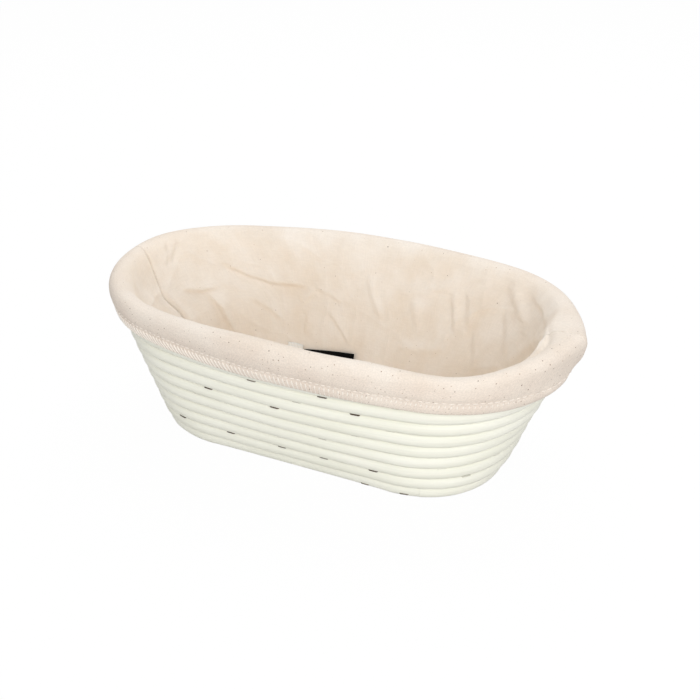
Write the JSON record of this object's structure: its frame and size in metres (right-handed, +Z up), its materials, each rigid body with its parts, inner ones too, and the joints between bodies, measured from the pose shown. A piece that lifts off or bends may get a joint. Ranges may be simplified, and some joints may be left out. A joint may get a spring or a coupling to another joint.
{
  "type": "proofing basket",
  "caption": "Oval coiled-cane dough proofing basket with flared walls and a removable cotton liner that rolls over the rim and is held by an elastic hem.",
  "frame": {"origin": "middle of the foot, on the surface that the basket stands on", "axes": "+X along the basket, +Y across it towards the labels, +Z up out of its mouth"},
  "size_m": [0.2544, 0.1524, 0.0834],
  "materials": {
    "cane": "bleached rattan cane, split smooth and sanded, uncoated",
    "staple_wire": "browned steel wire",
    "liner_cloth": "unbleached cotton in plain weave with dark seed flecks",
    "elastic": "flat braided elastic",
    "woven_label": "black woven satin, left bare",
    "care_label": "white satin ribbon, left bare"
  },
  "bodies": {
    "basket": {"base_cane": "cane", "wall_cane_1": "cane", "wall_cane_2": "cane", "wall_cane_3": "cane", "wall_cane_4": "cane", "base_staples": "staple_wire", "wall_staples_1": "staple_wire", "wall_staples_2": "staple_wire", "wall_staples_3": "staple_wire", "wall_staples_4": "staple_wire"},
    "liner": {"liner_floor": "liner_cloth", "liner_front": "liner_cloth", "liner_back": "liner_cloth", "cuff_front": "liner_cloth", "cuff_back": "liner_cloth", "hem_front": "liner_cloth", "hem_back": "liner_cloth", "hem_elastic": "elastic", "left_end_seam": "liner_cloth", "right_end_seam": "liner_cloth", "floor_seam": "liner_cloth", "woven_label": "woven_label", "care_label": "care_label"}
  },
  "joints": [
    {"name": "liner_lift", "type": "slide", "parent": "basket", "child": "liner", "axis": [0, 0, 1], "range_m": [0, 0.09], "deforming": ["cuff_front", "cuff_back", "hem_front", "hem_back", "hem_elastic"]}
  ]
}
